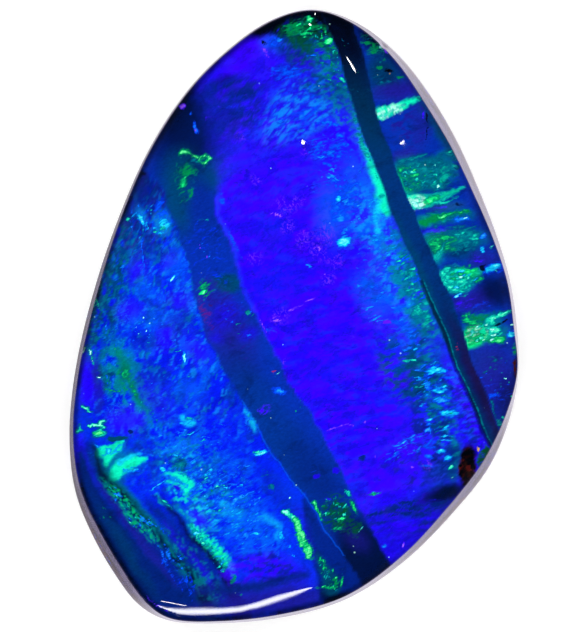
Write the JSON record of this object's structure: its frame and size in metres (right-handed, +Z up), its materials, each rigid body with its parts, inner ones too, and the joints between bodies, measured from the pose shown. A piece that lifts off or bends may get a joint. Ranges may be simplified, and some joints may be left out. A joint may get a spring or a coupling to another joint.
{
  "type": "boulder opal cabochon",
  "caption": "Polished freeform boulder opal cabochon with a low domed face, a leaning side wall and a flat ironstone back to set or rest on.",
  "frame": {"origin": "under the middle of the stone's outline, in the plane of its flat back", "axes": "+Y along the stone towards its narrow end, +X across the face to the right, +Z up out of the domed face"},
  "size_m": [0.0162, 0.022, 0.0042],
  "materials": {
    "opal_on_ironstone": "polished"
  },
  "bodies": {
    "root": {"boulder_opal": "opal_on_ironstone"}
  },
  "joints": []
}
